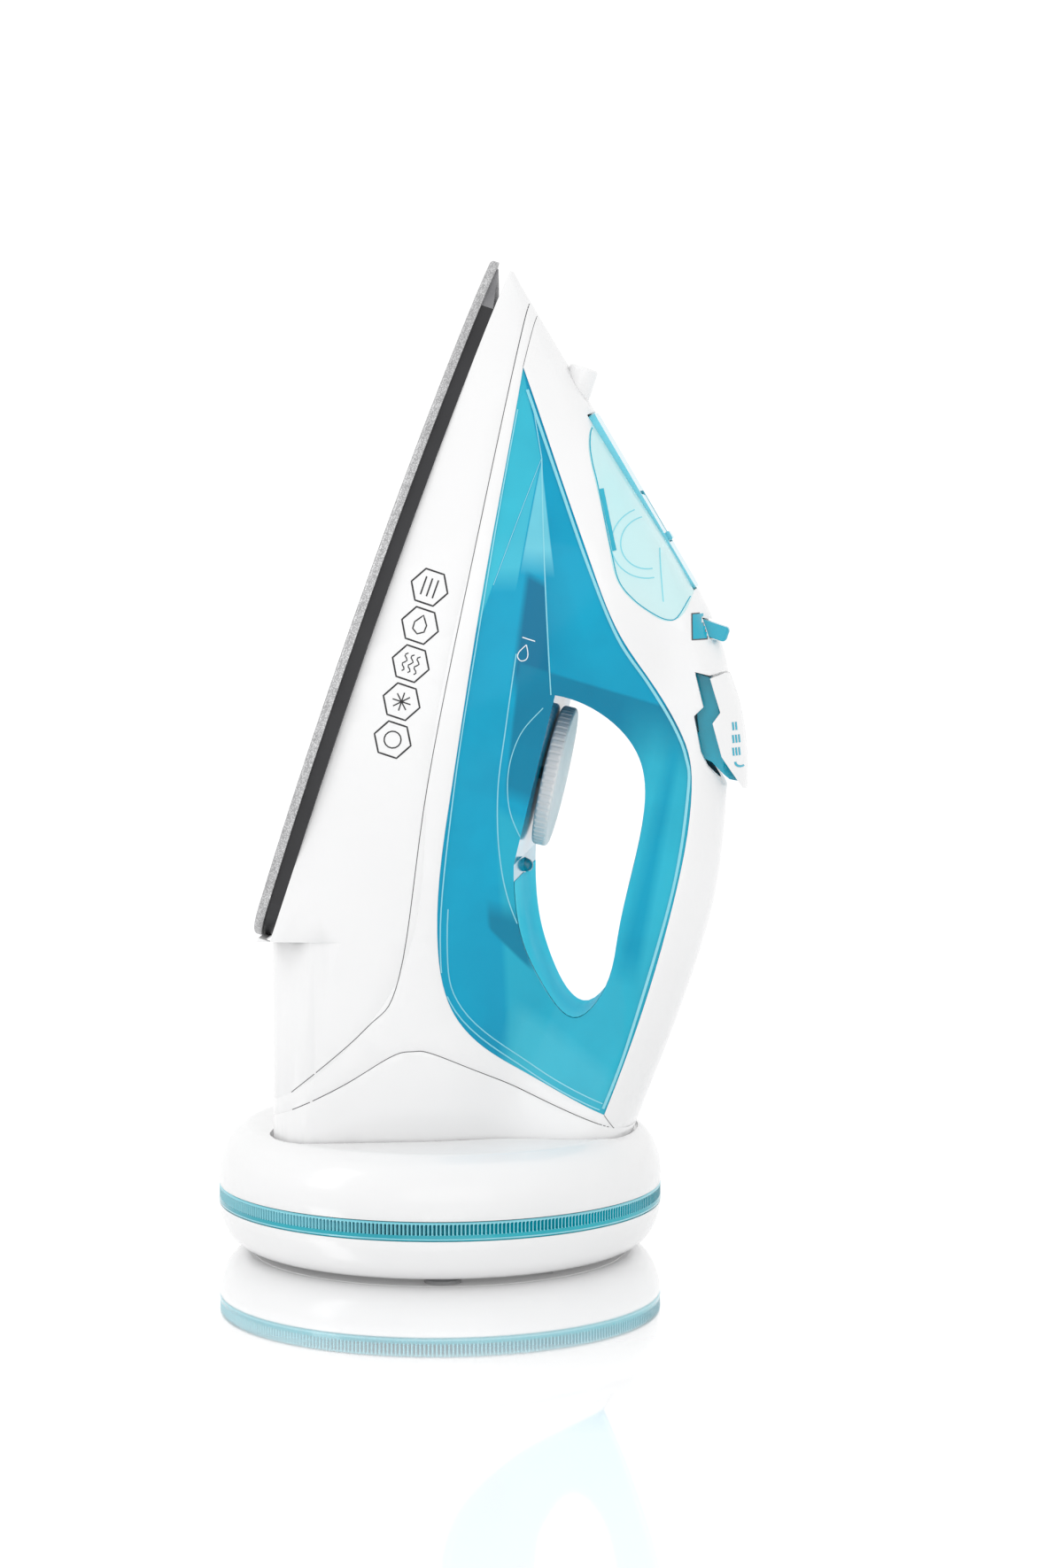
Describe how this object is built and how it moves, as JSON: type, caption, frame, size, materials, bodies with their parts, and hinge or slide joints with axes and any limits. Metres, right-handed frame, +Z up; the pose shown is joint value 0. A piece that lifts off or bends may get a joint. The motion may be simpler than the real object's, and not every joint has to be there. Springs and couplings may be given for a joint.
{
  "type": "cordless steam iron",
  "caption": "Cordless steam iron docked on its heel on a round swivelling base, with a tinted water tank and a closed handle.",
  "frame": {"origin": "on the table under the middle of the docked iron's bounding box", "axes": "+Z up, +X towards the handle, Y across the iron"},
  "size_m": [0.1768, 0.1484, 0.3277],
  "materials": {
    "white_shell": "gloss white plastic",
    "tank_tint": "teal tinted transparent plastic",
    "window_clear": "pale blue transparent plastic",
    "control_teal": "gloss teal plastic",
    "ring_teal": "teal translucent ribbed plastic",
    "sole_silver": "silver ceramic coat with fine speckle",
    "cast_aluminium": "as cast",
    "sheet_steel": "zinc plated",
    "skirt_black": "matt black heat-proof plastic",
    "dial_grey": "satin light grey",
    "natural_nylon": "natural nylon",
    "dark_plastic": "dark phenolic",
    "contact_brass": "brass",
    "hose_rubber": "translucent silicone",
    "foot_rubber": "grey rubber",
    "lens_teal": "tinted lens"
  },
  "bodies": {
    "base": {"base_pan": "white_shell", "base_feet": "foot_rubber", "base_screws": "sheet_steel", "base_lower_shell": "white_shell", "cord_gland": "white_shell", "light_ring": "ring_teal", "bearing_plate": "natural_nylon", "spindle": "sheet_steel", "spindle_clip": "sheet_steel", "thrust_washer": "natural_nylon", "contact_tracks": "contact_brass", "mains_terminals": "dark_plastic"},
    "turntable": {"turntable_plate": "natural_nylon", "contact_brushes": "contact_brass", "turntable_screws": "sheet_steel", "base_top_shell": "white_shell", "dock_plug": "dark_plastic", "dock_pins": "contact_brass"},
    "iron": {"soleplate": "sole_silver", "heating_plate": "cast_aluminium", "heating_element": "sheet_steel", "chamber_cover": "sheet_steel", "cover_screws": "sheet_steel", "heat_skirt": "skirt_black", "lower_casing": "white_shell", "main_housing": "white_shell", "handle_cover": "white_shell", "water_tank": "tank_tint", "tank_bulkhead": "window_clear", "heel_cover": "white_shell", "inlet_window": "window_clear", "inlet_frame": "window_clear", "filler_funnel": "window_clear", "door_pin": "sheet_steel", "spray_nozzle": "white_shell", "spray_hose": "hose_rubber", "thermostat": "dark_plastic", "thermal_fuse": "natural_nylon", "valve_body": "natural_nylon", "valve_seal": "hose_rubber", "button_pin": "sheet_steel", "pilot_lens": "lens_teal", "spray_pump": "natural_nylon", "steam_pump": "natural_nylon", "heel_socket": "dark_plastic", "heel_contacts": "contact_brass", "heel_screws": "sheet_steel", "terminal_block": "dark_plastic", "power_leads": "contact_brass"},
    "dial": {"temperature_dial": "dial_grey", "dial_shaft": "natural_nylon"},
    "steam_slider": {"steam_lever": "control_teal"},
    "valve_needle": {"steam_needle": "sheet_steel"},
    "filler_flap": {"filler_door": "window_clear"},
    "spray_button": {"spray_button_cap": "white_shell", "spray_button_body": "control_teal"},
    "steam_button": {"steam_button_cap": "white_shell", "steam_button_body": "control_teal"},
    "spray_plunger": {"spray_piston": "natural_nylon"},
    "steam_plunger": {"steam_piston": "natural_nylon"}
  },
  "joints": [
    {"name": "base_swivel", "type": "hinge", "parent": "base", "child": "turntable", "pos_m": [-0.0142, 0, 0.02], "axis": [0, 0, 1], "continuous": true},
    {"name": "iron_lift", "type": "slide", "parent": "turntable", "child": "iron", "axis": [0, 0, 1], "range_m": [0, 0.12]},
    {"name": "dial_turn", "type": "hinge", "parent": "iron", "child": "dial", "pos_m": [0.02207, 0, 0.15848], "axis": [0.9767, 0, -0.2147], "range_deg": [0, 270]},
    {"name": "steam_slide", "type": "slide", "parent": "iron", "child": "steam_slider", "axis": [0, 1, 0], "range_m": [0, 0.018]},
    {"name": "needle_lift", "type": "slide", "parent": "iron", "child": "valve_needle", "axis": [0.9483, 0, -0.3173], "range_m": [0, 0.002]},
    {"name": "flap_hinge", "type": "hinge", "parent": "iron", "child": "filler_flap", "pos_m": [0.05275, 0, 0.25032], "axis": [0, -1, 0], "range_deg": [0, 80]},
    {"name": "spray_press", "type": "hinge", "parent": "iron", "child": "spray_button", "pos_m": [0.07928, 0, 0.19016], "axis": [0, 1, 0], "range_deg": [0, 4], "stiffness_Nm_per_rad": 2, "springref_deg": -5.73},
    {"name": "steam_press", "type": "hinge", "parent": "iron", "child": "steam_button", "pos_m": [0.07928, 0, 0.19016], "axis": [0, 1, 0], "range_deg": [0, 4], "stiffness_Nm_per_rad": 2, "springref_deg": -5.73},
    {"name": "spray_stroke", "type": "slide", "parent": "iron", "child": "spray_plunger", "axis": [-0.9483, 0, 0.3173], "range_m": [0, 0.0016]},
    {"name": "steam_stroke", "type": "slide", "parent": "iron", "child": "steam_plunger", "axis": [-0.9483, 0, 0.3173], "range_m": [0, 0.0016]}
  ],
  "couplings": [
    {"joint": "needle_lift", "follows": "steam_slide", "ratio": 0.11},
    {"joint": "spray_stroke", "follows": "spray_press", "m_per_rad": 0.0216},
    {"joint": "steam_stroke", "follows": "steam_press", "m_per_rad": 0.0216}
  ]
}
